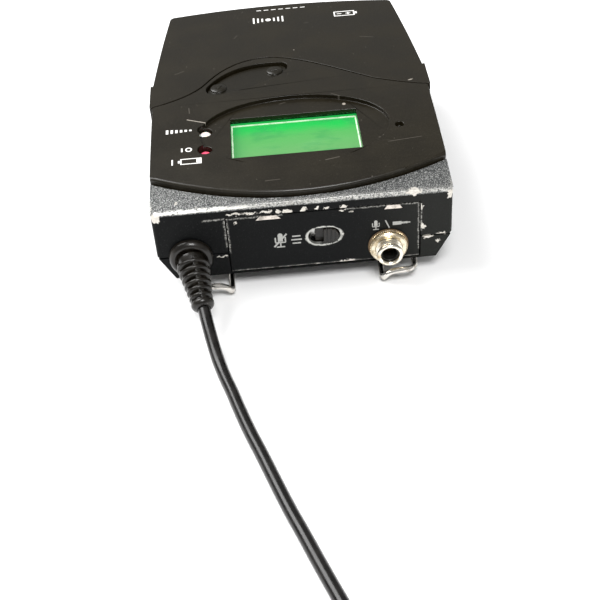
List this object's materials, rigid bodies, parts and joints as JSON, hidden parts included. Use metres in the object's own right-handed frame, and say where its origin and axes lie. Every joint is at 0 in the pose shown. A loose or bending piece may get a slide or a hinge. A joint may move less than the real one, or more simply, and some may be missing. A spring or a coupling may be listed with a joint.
{
  "type": "wireless bodypack transmitter",
  "caption": "Belt-worn radio microphone transmitter with a green display, rocker, hinged battery door, mute slide, jack, whip antenna and wire belt clip.",
  "frame": {"origin": "under the middle of the box of everything but the antenna, on the surface that the belt clip rests on", "axes": "+X to the right when the control end faces the viewer, +Y from the control end to the door's hinge, +Z out of the fascia"},
  "size_m": [0.0656, 0.1714, 0.0264],
  "materials": {
    "housing_paint": "hammered blue-grey metallic paint, chipped to bare metal along its edges",
    "black_plastic": "satin, fine grain, dusty and lightly scratched",
    "black_rubber": "semi-gloss moulded",
    "clear_plastic": "clear moulded window",
    "display_green": "backlit green display",
    "white_plastic": "diffusing white",
    "lamp_clear": "clear resin",
    "lamp_red": "tinted resin",
    "nickel_brass": "bright nickel-brass plating, worn",
    "spring_steel": "bright nickel-plated wire",
    "plain_steel": "zinc plated",
    "circuit_board": "solder resist",
    "cell_wrap": "plain printed sleeve"
  },
  "bodies": {
    "pack": {"upper_housing": "housing_paint", "back_shell": "housing_paint", "end_plate": "housing_paint", "case_screw_1": "plain_steel", "case_screw_2": "plain_steel", "case_screw_3": "plain_steel", "case_screw_4": "plain_steel", "front_fascia": "black_plastic", "display_lens": "clear_plastic", "lcd_glass": "display_green", "lcd_light_guide": "white_plastic", "display_board": "circuit_board", "lamp_peak": "lamp_clear", "lamp_on": "lamp_red", "rocker_board": "circuit_board", "rocker_switch_down": "plain_steel", "rocker_switch_up": "plain_steel", "hinge_pin_left": "plain_steel", "hinge_pin_right": "plain_steel", "power_switch": "plain_steel", "set_switch": "plain_steel", "battery_cradle": "black_plastic", "battery_1": "cell_wrap", "battery_2": "cell_wrap", "contact_bridge": "plain_steel", "contact_plus": "plain_steel", "contact_minus": "plain_steel", "contact_spring_1": "spring_steel", "contact_spring_2": "spring_steel", "main_board": "circuit_board", "rf_shield": "plain_steel", "mute_switch_body": "plain_steel", "jack_nut": "nickel_brass", "jack_sleeve": "nickel_brass", "jack_block": "black_rubber", "antenna_boot": "black_rubber", "antenna_socket": "nickel_brass", "antenna_whip": "black_rubber", "antenna_tip": "black_rubber"},
    "door": {"battery_door": "black_plastic"},
    "left_catch": {"catch_left": "black_plastic"},
    "right_catch": {"catch_right": "black_plastic"},
    "rocker": {"rocker_button": "black_plastic"},
    "mute_slider": {"mute_knob": "black_rubber"},
    "power_key": {"power_button": "black_rubber"},
    "set_key": {"set_button": "black_rubber"},
    "clip": {"belt_clip": "spring_steel"}
  },
  "joints": [
    {"name": "door_hinge", "type": "hinge", "parent": "pack", "child": "door", "pos_m": [0, 0.04175, 0.013], "axis": [-1, 0, 0], "range_deg": [0, 95]},
    {"name": "left_catch_press", "type": "slide", "parent": "door", "child": "left_catch", "axis": [1, 0, 0], "range_m": [0, 0.001], "stiffness_N_per_m": 500},
    {"name": "right_catch_press", "type": "slide", "parent": "door", "child": "right_catch", "axis": [-1, 0, 0], "range_m": [0, 0.001], "stiffness_N_per_m": 500},
    {"name": "rocker_tilt", "type": "hinge", "parent": "pack", "child": "rocker", "pos_m": [-0.0099, 0.00725, 0.0243], "axis": [-0.4083, 0.9128, 0], "range_deg": [-2, 2], "stiffness_Nm_per_rad": 0.05},
    {"name": "mute_slide", "type": "slide", "parent": "pack", "child": "mute_slider", "axis": [-1, 0, 0], "range_m": [0, 0.002]},
    {"name": "power_press", "type": "slide", "parent": "pack", "child": "power_key", "axis": [0, 0, -1], "range_m": [0, 0.0003], "stiffness_N_per_m": 800},
    {"name": "set_press", "type": "slide", "parent": "pack", "child": "set_key", "axis": [0, 0, -1], "range_m": [0, 0.0003], "stiffness_N_per_m": 800},
    {"name": "clip_flex", "type": "hinge", "parent": "pack", "child": "clip", "pos_m": [0, -0.031, 0.0054], "axis": [-1, 0, 0], "range_deg": [0, 4], "stiffness_Nm_per_rad": 2}
  ]
}
